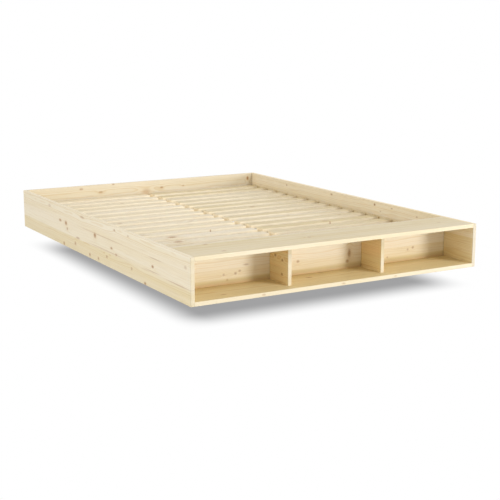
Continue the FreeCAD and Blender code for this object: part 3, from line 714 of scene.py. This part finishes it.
def make_strap_run():
    """Webbing straps that hold a slat set together, sagging a little between the slats."""
    graph, given, result = shape_group(
        "strap_run", Int=("Count", "Slats"), Vector=("First",), Material=("Cloth",),
        Float=("Spacing", "Pitch", "Slat Width", "Width", "Thickness", "Edge Radius", "Sag"))
    far = graph.scaled(graph.minus(given["Slats"], 1.0), given["Pitch"], given["Slat Width"])
    line = straight_line(graph, (0.0, 0.0, 0.0), graph.join(0.0, graph.times(far, -1.0), 0.0))
    steps = graph.times(given["Slats"], STRAP_STEPS_PER_SLAT)
    line = graph.make("GeometryNodeResampleCurve", {"Curve": line, "Count": steps})
    travel = graph.times(graph.split(position(graph))["Y"], -1.0)
    from_slat = graph.scaled(given["Slat Width"], -0.5, travel)
    wave = graph.math("COSINE", graph.times(graph.over(from_slat, given["Pitch"]), 2 * math.pi))
    held = graph.math("COSINE", graph.times(graph.over(given["Slat Width"], given["Pitch"]), math.pi))
    dip = graph.over(graph.minus(held, wave), graph.plus(held, 1.0))
    drop = graph.times(graph.math("MAXIMUM", dip, 0.0), graph.times(given["Sag"], -1.0))
    line = move(graph, line, graph.join(0.0, 0.0, drop))
    section = rounded_section(graph, given["Width"], given["Thickness"], given["Edge Radius"])
    points = row_of_points(graph, given["Count"], given["First"], given["Spacing"], "X")
    finish_tree(graph, result, instance(graph, points, sweep(graph, line, section)), given["Cloth"])
    return graph.tree


def make_staple_rows():
    """Wire staples in pairs where each strap crosses a slat, their ends bent up into the wood."""
    graph, given, result = shape_group(
        "staple_rows", Int=("Slats", "Straps"), Vector=("First",), Material=("Steel",),
        Float=("Pitch", "Spacing", "Pair Gap", "Crown", "Wire", "Bend"))
    half = graph.times(given["Crown"], 0.5)
    line = centred_line(graph, half)
    line = graph.make("GeometryNodeResampleCurve", {"Curve": line, "Count": STAPLE_STEPS})
    reach = graph.math("ABSOLUTE", graph.over(graph.split(position(graph))["X"], half))
    lift = graph.times(graph.math("POWER", reach, STAPLE_BEND_POWER), given["Bend"])
    line = move(graph, line, graph.join(0.0, 0.0, lift))
    round_wire = {"Resolution": STAPLE_SIDES, "Radius": given["Wire"]}
    staple = sweep(graph, line, graph.make("GeometryNodeCurvePrimitiveCircle", round_wire))
    crossing = instance(graph, row_of_points(graph, 2, (0.0, 0.0, 0.0), given["Pair Gap"]), staple)
    straps = row_of_points(graph, given["Straps"], (0.0, 0.0, 0.0), given["Spacing"], "X")
    slats = row_of_points(graph, given["Slats"], given["First"], given["Pitch"])
    across = instance(graph, straps, crossing)
    finish_tree(graph, result, instance(graph, slats, across), given["Steel"])
    return graph.tree


def make_fasteners(name, domed, recess):
    """Screws or bolts at points with an outward axis: a head with its recess, a shank and a tip."""
    graph, given, result = shape_group(name, Material=("Steel",), Float=(
        "Head Radius", "Head Height", "Shank Radius", "Length", "Tip", "Recess Size", "Recess Width",
        "Recess Depth"))
    radius, head_radius, head_height = given["Shank Radius"], given["Head Radius"], given["Head Height"]
    below_head = graph.times(head_height, -1.0)
    foot_radius = head_radius if domed else radius
    head = cone(graph, HEAD_SIDES, head_radius, foot_radius, head_height, below_head, HEAD_STEPS)
    if domed:
        head = dome(graph, head, head_height)
    shank_end = graph.minus(given["Tip"], given["Length"])
    shank_length = graph.minus(graph.plus(below_head, WELD_OVERLAP), shank_end)
    shank = cone(graph, SHANK_SIDES, radius, radius, shank_length, shank_end)
    tip_start = graph.times(given["Length"], -1.0)
    tip_length = graph.plus(given["Tip"], WELD_OVERLAP)
    tip = cone(graph, SHANK_SIDES, radius, graph.times(radius, TIP_END_SHARE), tip_length, tip_start)
    whole = weld(graph, "UNION", [head, shank, tip])
    whole = weld(graph, "DIFFERENCE", [recess(graph, given)], whole)
    axis = graph.make("GeometryNodeInputNamedAttribute", {"Name": "axis"}, data_type="FLOAT_VECTOR")
    rotation = graph.make("FunctionNodeAlignRotationToVector", {"Vector": axis}, axis="Z")
    finish_tree(graph, result, instance(graph, given["Geometry"], whole, rotation), given["Steel"])
    return graph.tree


def cross_recess(graph, given):
    """Two crossed bars, sunk into the head."""
    size, width = given["Recess Size"], given["Recess Width"]
    deep = graph.times(given["Recess Depth"], 2.0)
    bars = []
    for sides in ((size, width), (width, size)):
        bars.append(graph.make("GeometryNodeMeshCube", {"Size": graph.join(*sides, deep)}))
    return weld(graph, "UNION", bars)


def hex_socket(graph, given):
    """A six-sided hole, sunk into the head."""
    deep = graph.times(given["Recess Depth"], 2.0)
    start = graph.times(given["Recess Depth"], -1.0)
    return cone(graph, BOLT_SOCKET_SIDES, given["Recess Size"], given["Recess Size"], deep, start)


def make_felt_pads():
    """Round pads with softened rims and a slightly uneven face, one at each point."""
    graph, given, result = shape_group(
        "felt_glides", Material=("Cloth",), Float=("Radius", "Thickness", "Edge Radius", "Unevenness"))
    radius, edge = given["Radius"], given["Edge Radius"]
    pad = cone(graph, PAD_SIDES, radius, radius, given["Thickness"], 0.0, PAD_SIDE_STEPS, PAD_FACE_STEPS)
    place = position(graph)
    x, y, z = graph.split(place)
    from_rim = graph.math("MINIMUM", z, graph.minus(given["Thickness"], z))
    inside = graph.math("MAXIMUM", graph.minus(1.0, graph.over(from_rim, edge)), 0.0)
    cut = graph.times(graph.math("POWER", inside, 2.0), edge)
    level = graph.join(x, y, 0.0)
    span = graph.over(graph.vector("LENGTH", level), radius)
    rub = graph.times(graph.noise(place, PAD_ROUGHNESS_SCALE), given["Unevenness"])
    pull = graph.times(graph.plus(cut, rub), graph.math("POWER", span, PAD_RIM_POWER))
    inward = graph.times(pull, -1.0)
    offset = graph.vector("MULTIPLY", graph.vector("NORMALIZE", level), graph.join(inward, inward, inward))
    finish_tree(graph, result, instance(graph, given["Geometry"], move(graph, pad, offset)), given["Cloth"])
    return graph.tree


def position(graph):
    return graph.make("GeometryNodeInputPosition")


def move(graph, shape, offset):
    return graph.make("GeometryNodeSetPosition", {"Geometry": shape, "Offset": offset})


def straight_line(graph, start, end):
    return graph.make("GeometryNodeCurvePrimitiveLine", {"Start": start, "End": end})


def centred_line(graph, half):
    """A straight line along X that reaches half its length to each side."""
    return straight_line(graph, graph.join(graph.times(half, -1.0), 0.0, 0.0), graph.join(half, 0.0, 0.0))


def rounded_section(graph, width, height, radius):
    section = graph.make("GeometryNodeCurvePrimitiveQuadrilateral", {"Width": width, "Height": height})
    inputs = {"Curve": section, "Count": FILLET_STEPS, "Radius": radius, "Limit Radius": True}
    return graph.make("GeometryNodeFilletCurve", inputs, mode="POLY")


def sweep(graph, line, section):
    level = graph.make("GeometryNodeSetCurveNormal", {"Curve": line}, mode="Z_UP")
    inputs = {"Curve": level, "Profile Curve": section, "Fill Caps": True}
    return graph.make("GeometryNodeCurveToMesh", inputs)


def row_of_points(graph, count, first, step, axis="Y"):
    """Points along +X, or from the head towards the foot along -Y."""
    offset = graph.join(step, 0.0, 0.0) if axis == "X" else graph.join(0.0, graph.times(step, -1.0), 0.0)
    inputs = {"Count": count, "Start Location": first, "Offset": offset}
    return graph.make("GeometryNodeMeshLine", inputs, mode="OFFSET")


def random_vector(graph, reach, seed):
    """A vector that strays from zero by up to a reach, either way along each axis."""
    inputs = {"Min": graph.vector("MULTIPLY", reach, (-1.0, -1.0, -1.0)), "Max": reach, "Seed": seed}
    return graph.make("FunctionNodeRandomValue", inputs, data_type="FLOAT_VECTOR")


def instance(graph, points, shape, rotation=None):
    inputs = {"Points": points, "Instance": shape}
    if rotation is not None:
        inputs["Rotation"] = rotation
    return graph.make("GeometryNodeInstanceOnPoints", inputs)


def cone(graph, sides, top, bottom, length, start, side_steps=1, fill_steps=1):
    """A round bar or cone along Z, from start upwards."""
    inputs = {"Vertices": sides, "Side Segments": side_steps, "Fill Segments": fill_steps,
              "Radius Top": top, "Radius Bottom": bottom, "Depth": length}
    shape = graph.make("GeometryNodeMeshCone", inputs)
    lift = graph.join(0.0, 0.0, start)
    return graph.make("GeometryNodeTransform", {"Geometry": shape, "Translation": lift})


def dome(graph, head, height):
    """Rounds a straight head in towards its top, like part of an ellipse."""
    x, y, z = graph.split(position(graph))
    up = graph.times(graph.plus(graph.over(z, height), 1.0), PAN_DOME)
    girth = graph.math("SQRT", graph.minus(1.0, graph.times(up, up)))
    place = graph.join(graph.times(x, girth), graph.times(y, girth), z)
    return graph.make("GeometryNodeSetPosition", {"Geometry": head, "Position": place})


def weld(graph, operation, shapes, base=None):
    node = graph.add("GeometryNodeMeshBoolean", operation=operation, solver="EXACT")
    if base is not None:
        graph.wire(node.inputs["Mesh 1"], base)
    for shape in shapes:
        graph.wire(node.inputs["Mesh 2"], shape)
    return node.outputs["Mesh"]


def finish_tree(graph, result, geometry, material):
    real = graph.make("GeometryNodeRealizeInstances", {"Geometry": geometry})
    painted = graph.make("GeometryNodeSetMaterial", {"Geometry": real, "Material": material})
    graph.wire(result["Geometry"], painted)


# Pieces

def new_object(name, data):
    """An object in the scene, at the origin."""
    thing = bpy.data.objects.new(name, data)
    bpy.context.scene.collection.objects.link(thing)
    return thing


def grow(name, tree, values, body, replaced=(), points=(), bevel=None):
    """Runs a tree into a plain mesh that rides on a body and stands for the nodes that it replaces."""
    base = bpy.data.meshes.new(name)
    base.from_pydata([place for place, _ in points], [], [])
    if points:
        axis = base.attributes.new("axis", "FLOAT_VECTOR", "POINT")
        axis.data.foreach_set("vector", [part for _, direction in points for part in direction])
    piece = new_object(name, base)
    modifier = piece.modifiers.new("grow", "NODES")
    modifier.node_group = tree
    sockets = {item.name: item.identifier for item in tree.interface.items_tree if item.in_out == "INPUT"}
    for socket, value in values.items():
        modifier[sockets[socket]] = value
    if bevel:
        edges = piece.modifiers.new("ease", "BEVEL")
        edges.width = bevel
        edges.segments = BEVEL_STEPS
        edges.limit_method = "ANGLE"
        edges.angle_limit = BEVEL_ANGLE
    settled = piece.evaluated_get(bpy.context.evaluated_depsgraph_get())
    mesh = bpy.data.meshes.new_from_object(settled)
    piece.modifiers.clear()
    piece.data = mesh
    shape = bmesh.new()
    shape.from_mesh(mesh)
    bmesh.ops.recalc_face_normals(shape, faces=shape.faces)
    for face in shape.faces:
        face.smooth = True
    shape.to_mesh(mesh)
    shape.free()
    mesh.set_sharp_from_angle(angle=SMOOTH_ANGLE)
    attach(piece, body)
    if replaced:
        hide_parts(*replaced)
    return piece


def solids_of(node):
    """The corner places of each separate solid in a node of the frame, in a steady order."""
    shape = bmesh.new()
    shape.from_mesh(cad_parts[node].data)
    bmesh.ops.remove_doubles(shape, verts=shape.verts, dist=MERGE_DISTANCE)
    waiting = set(shape.verts)
    solids = []
    for start in shape.verts:
        if start not in waiting:
            continue
        waiting.remove(start)
        front = [start]
        solid = []
        while front:
            corner = front.pop()
            solid.append(corner.co.copy())
            for edge in corner.link_edges:
                other = edge.other_vert(corner)
                if other in waiting:
                    waiting.remove(other)
                    front.append(other)
        solids.append(solid)
    shape.free()
    return solids


def span_of(solid):
    low = Vector(min(place[i] for place in solid) for i in range(3))
    high = Vector(max(place[i] for place in solid) for i in range(3))
    return low, high


def fastener_seats(node):
    """The top of each fastener's head with the way that it points, then the head's radius and the length."""
    seats = []
    for solid in solids_of(node):
        low, high = span_of(solid)
        size = high - low
        axis = max(range(3), key=lambda i: size[i])
        middle = (low + high) / 2
        flat = Vector(0.0 if i == axis else 1.0 for i in range(3))
        widest = max(solid, key=lambda place: ((place - middle) * flat).length)
        outward = Vector((0.0, 0.0, 0.0))
        outward[axis] = 1.0 if widest[axis] > middle[axis] else -1.0
        seats.append((middle + outward * size[axis] / 2, outward))
        radius = max(size * flat) / 2
    return seats, radius, size[axis]


# Boards and timbers of the frame

# The tones and shades of the boards are partly painted light, set for how the light falls on each: the head
# board and the shelf's top board darker, the right board brighter, and the shelf's floor and dividers warmer
# and brighter for the warm light that bounces inside the shelf.
dress_board("left_side_board", "YZX", 3.0, LEFT_SIDE_KNOT_SHARES, stave_tones=(0.50, 0.22, 0.22),
            contrast=0.55, stave_change=0.1, front=(0.42, 0.84))
# Painted light: the two lower staves warmer, for the warm shade that falls where they show inside the shelf
dress_board("right_side_board", "YZX", 5.0, RIGHT_SIDE_KNOT_SHARES, stave_tones=(0.75, 0.65, 0.36),
            shade=1.12, stave_change=0.2, front=(0.12, 0.77))
dress_board("head_board", "XZY", 8.0, HEAD_KNOT_SHARES, joint_shares=BOTH_END_SHARES, tone=0.18, contrast=0.5,
            shade=0.89)
dress_board("shelf_top_board", "XYZ", 11.0, SHELF_TOP_KNOT_SHARES, tone=0.53, contrast=0.65, shade=0.90,
            front=(0.55, 0.93))
dress_board("shelf_bottom_board", "XYZ", 14.0, SHELF_BOTTOM_KNOT_SHARES, SHELF_EDGE_KNOT_SHARES, tone=1.08,
            shade=0.99, front=(0.55, 0.92))
# Painted light: the upper staves paler against the top board's shade on them, the lowest warmer, with painted
# shade at the foot
dress_board("shelf_back_board", "XZY", 17.0, SHELF_BACK_KNOT_SHARES, joint_shares=BOTH_END_SHARES,
            stave_tones=(0.38, -0.08, -0.30), stave_change=0.1, contrast=0.5, shade=1.03, foot=(1.6, 0.83))
# Painted light: the dividers warmer and brighter for the warm light that bounces inside the shelf
divider_painted_light = {"joint_shares": FAR_END_SHARE, "tone": 1.40, "shade": 1.15, "front": (0.50, 0.87)}
dress_board("left_shelf_divider", "YZX", 21.0, LEFT_DIVIDER_KNOT_SHARES, **divider_painted_light)
dress_board("right_shelf_divider", "YZX", 24.0, knot_share=0.3, **divider_painted_light)

# Timbers: the way of the grain, a tone and a shade. The rails' dark brown is painted shade, for the deep
# shade seen past the slat ends; the beam's paler shade is painted light against the shade in the gap between
# the sets.
RAIL_PAINTED_SHADE = ("YZX", 1.7, 0.35)
BEAM_PAINTED_LIGHT = ("YXZ", 0.5, 1.1)
BEARER_FINISH = ("XZY", 0.5, 0.95)
TIMBERS = {
    "left_slat_rail": RAIL_PAINTED_SHADE, "right_slat_rail": RAIL_PAINTED_SHADE, "centre_beam": BEAM_PAINTED_LIGHT,
    "foot_cross_bearer": BEARER_FINISH, "middle_cross_bearer": BEARER_FINISH,
    "head_cross_bearer": BEARER_FINISH,
}
for number, (node, (grain, tone, shade)) in enumerate(TIMBERS.items()):
    dress_board(node, grain, TIMBER_SEED + number, stave=WHOLE_TIMBER, contrast=0.9, knot_share=0.35,
                tone=tone, shade=shade)
for row, place in enumerate(("foot", "middle", "head")):
    for column, side in enumerate(SLAT_SETS):
        seed = LEG_SEED + len(SLAT_SETS) * row + column
        dress_board(f"{place}_{side}_leg", "ZXY", seed, stave=WHOLE_TIMBER, contrast=0.9, tone=0.5)

bright_zinc = zinc()
paint("angle_brackets", bright_zinc)
paint("panel_dowels", beech())

# Slat sets, with the tone and the shade of each set's tops: painted light that makes the tops darker and
# warmer than the lit sides, and the right set's tops darker than the left's
SLAT_TOP_PAINTED_SHADES = {"left": (0.27, 0.97), "right": (0.50, 0.91)}
slat_row = make_slat_row()
strap_run = make_strap_run()
staple_rows = make_staple_rows()
tape = webbing()
for seed, (side, shares) in enumerate(zip(SLAT_SETS, (LEFT_SLAT_KNOT_SHARES, RIGHT_SLAT_KNOT_SHARES))):
    nodes = [f"{side}_slat_{number:02d}" for number in range(1, SLATS + 1)]
    first_low, first_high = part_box(nodes[0])
    last_low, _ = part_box(nodes[-1])
    length, width, thickness = first_high - first_low
    pitch = (first_low.y - last_low.y) / (SLATS - 1)
    row_corner = Vector((last_low.x, last_low.y - (pitch - width) / 2, last_low.z))
    knots = []
    for number, share, knot_length, knot_width, strength in shares:
        spot = (share * length, (SLATS - number + 0.5) * pitch, thickness / 2)
        knots.append(knot_row(spot, knot_length, knot_width, KNOT_THROUGH, strength))
    # Painted light: the sides and ends of the slats get a pale tone and a bright shade, the tops those of
    # their set
    wood = pine(f"pine_{side}_slats", row_corner, "XYZ", SLAT_SEED + seed, knots, stave=pitch, contrast=0.6,
                knot_share=0.14, tone=0.05, shade=1.13, stave_change=0.25,
                top=(first_high.z, *SLAT_TOP_PAINTED_SHADES[side]))
    body = f"{side}_slat_set"
    grow(f"{side}_slats", slat_row, {
        "Count": SLATS, "First": (first_low + first_high) / 2, "Pitch": pitch, "Length": length,
        "Width": width, "Thickness": thickness, "Edge Radius": SLAT_EDGE_RADIUS, "Shift": SLAT_SHIFT,
        "Skew": SLAT_SKEW, "Seed": seed, "Wood": wood,
    }, body, nodes, bevel=SLAT_END_BEVEL)

    strap_node = f"{side}_slat_straps"
    spans = sorted((span_of(solid) for solid in solids_of(strap_node)), key=lambda span: span[0].x)
    strap_low, strap_high = spans[0]
    spacing = spans[1][0].x - strap_low.x
    strap_width, _, strap_thickness = strap_high - strap_low
    strap_middle = (strap_low + strap_high) / 2
    grow(f"{side}_straps", strap_run, {
        "Count": STRAPS, "First": Vector((strap_middle.x, strap_high.y, strap_middle.z)), "Spacing": spacing,
        "Slats": SLATS, "Pitch": pitch, "Slat Width": width, "Width": strap_width,
        "Thickness": strap_thickness, "Edge Radius": STRAP_EDGE_RADIUS, "Sag": STRAP_SAG, "Cloth": tape,
    }, body, [strap_node])
    first_staple = Vector((strap_middle.x, strap_high.y - (width - STAPLE_PAIR_GAP) / 2, strap_low.z))
    grow(f"{side}_staples", staple_rows, {
        "Slats": SLATS, "Pitch": pitch, "Straps": STRAPS, "Spacing": spacing, "Pair Gap": STAPLE_PAIR_GAP,
        "First": first_staple, "Crown": STAPLE_CROWN, "Wire": STAPLE_WIRE, "Bend": STAPLE_BEND,
        "Steel": bright_zinc,
    }, body)

# Screws, bolts and felt pads
pan_screws = make_fasteners("pan_head_screws", True, cross_recess)
flush_screws = make_fasteners("flush_screws", False, cross_recess)
socket_bolts = make_fasteners("socket_bolts", True, hex_socket)
screw_values = {
    "Head Height": SCREW_HEAD_HEIGHT, "Shank Radius": SCREW_SHANK_RADIUS, "Tip": SCREW_TIP,
    "Recess Size": SCREW_RECESS_LENGTH, "Recess Width": SCREW_RECESS_WIDTH,
    "Recess Depth": SCREW_RECESS_DEPTH, "Steel": bright_zinc,
}
bolt_values = {
    "Head Height": BOLT_HEAD_HEIGHT, "Shank Radius": BOLT_SHANK_RADIUS, "Tip": BOLT_TIP,
    "Recess Size": BOLT_SOCKET_RADIUS, "Recess Depth": BOLT_SOCKET_DEPTH, "Steel": bright_zinc,
}
for name, tree, node, values in (
    ("bracket_pan_screws", pan_screws, "bracket_screws", screw_values),
    ("rail_flush_screws", flush_screws, "rail_screws", screw_values),
    ("leg_socket_bolts", socket_bolts, "leg_bolts", bolt_values),
):
    seats, head_radius, whole_length = fastener_seats(node)
    sizes = {"Head Radius": head_radius, "Length": whole_length, **values}
    grow(name, tree, sizes, "bed_frame", [node], seats)

pad_spans = [span_of(solid) for solid in solids_of("felt_pads")]
pad_low, pad_high = pad_spans[0]
pad_points = [(((low + high) / 2).to_2d().to_3d(), Vector((0, 0, 1))) for low, high in pad_spans]
grow("felt_glides", make_felt_pads(), {
    "Radius": (pad_high.x - pad_low.x) / 2, "Thickness": pad_high.z - pad_low.z,
    "Edge Radius": PAD_EDGE_RADIUS, "Unevenness": PAD_ROUGHNESS, "Cloth": felt(),
}, "bed_frame", ["felt_pads"], pad_points)


# Studio

def seen_directly(graph):
    """One for rays that show the background: from the camera, off gloss or through glass."""
    rays = graph.add("ShaderNodeLightPath").outputs
    shown = graph.math("MAXIMUM", rays["Is Camera Ray"], rays["Is Glossy Ray"])
    return graph.math("MAXIMUM", shown, rays["Is Transmission Ray"])


def studio_floor():
    """A pale floor that meets the white backdrop, with a shadow painted under the bed and darker by its legs.
    """
    material = bpy.data.materials.new("studio_floor")
    material.use_nodes = True
    graph = Graph(material.node_tree)
    material.node_tree.nodes.clear()
    matt = graph.make("ShaderNodeBsdfDiffuse", {"Color": (FLOOR_GREY, FLOOR_GREY, FLOOR_GREY, 1.0)})
    x, y, _ = graph.split(graph.add("ShaderNodeTexCoord").outputs["Object"])
    depths = {
        "left": graph.minus(x, cad_low.x), "right": graph.minus(cad_high.x, x),
        "foot": graph.minus(y, cad_low.y), "head": graph.minus(cad_high.y, y),
    }
    # Painted shadow: grey over the bed's box, fading in from each side
    covered = 1.0
    for side, depth in depths.items():
        covered = graph.times(graph.rise(depth, -SHADOW_SPREAD, SHADOW_FADES[side]), covered)
    shade = graph.mix(covered, WHITE, SHADOW_GREY)
    # Painted contact shade where ambient occlusion finds the bed close above the floor
    openness = graph.add("ShaderNodeAmbientOcclusion", {"Distance": CONTACT_REACH}, samples=CONTACT_SAMPLES)
    contact = graph.rise(openness.outputs["AO"], 0.0, 1.0, CONTACT_SHADE, 1.0)
    shade = graph.mix(1.0, shade, graph.join(contact, contact, contact), "MULTIPLY")
    glow = graph.make("ShaderNodeEmission", {"Color": shade, "Strength": 1.0})
    either = graph.make("ShaderNodeMixShader", {0: seen_directly(graph), 1: matt, 2: glow})
    graph.add("ShaderNodeOutputMaterial", {"Surface": either})
    corner = FLOOR_REACH / 2
    mesh = bpy.data.meshes.new("studio_floor")
    corners = [(-corner, -corner, 0), (corner, -corner, 0), (corner, corner, 0), (-corner, corner, 0)]
    mesh.from_pydata(corners, [], [(0, 1, 2, 3)])
    mesh.materials.append(material)
    new_object("studio_floor", mesh)


def backdrop():
    """A white world that lights the bed at a plain level."""
    world = bpy.data.worlds.new("studio_backdrop")
    world.use_nodes = True
    bpy.context.scene.world = world
    graph = Graph(world.node_tree)
    level = graph.scaled(seen_directly(graph), 1.0 - AMBIENT_LEVEL, AMBIENT_LEVEL)
    background = world.node_tree.nodes["Background"]
    background.inputs["Color"].default_value = WHITE
    graph.wire(background.inputs["Strength"], level)


def soft_lamp(name, place, size, power):
    lamp = bpy.data.lights.new(name, "AREA")
    lamp.shape = "DISK"
    lamp.size = size
    lamp.energy = power
    holder = new_object(name, lamp)
    holder.location = place
    holder.rotation_euler = (Vector(LAMP_TARGET) - Vector(place)).to_track_quat("-Z", "Y").to_euler()


def photo_camera():
    lens = bpy.data.cameras.new("photo_camera")
    lens.lens = CAMERA_LENS
    lens.sensor_width = SENSOR_WIDTH
    camera = new_object("photo_camera", lens)
    camera.location = CAMERA_PLACE
    camera.rotation_euler = CAMERA_TURN
    bpy.context.scene.camera = camera


studio_floor()
backdrop()
for name, (place, size, power) in LAMPS.items():
    soft_lamp(name, place, size, power)
photo_camera()
bpy.context.scene.view_settings.view_transform = "Standard"
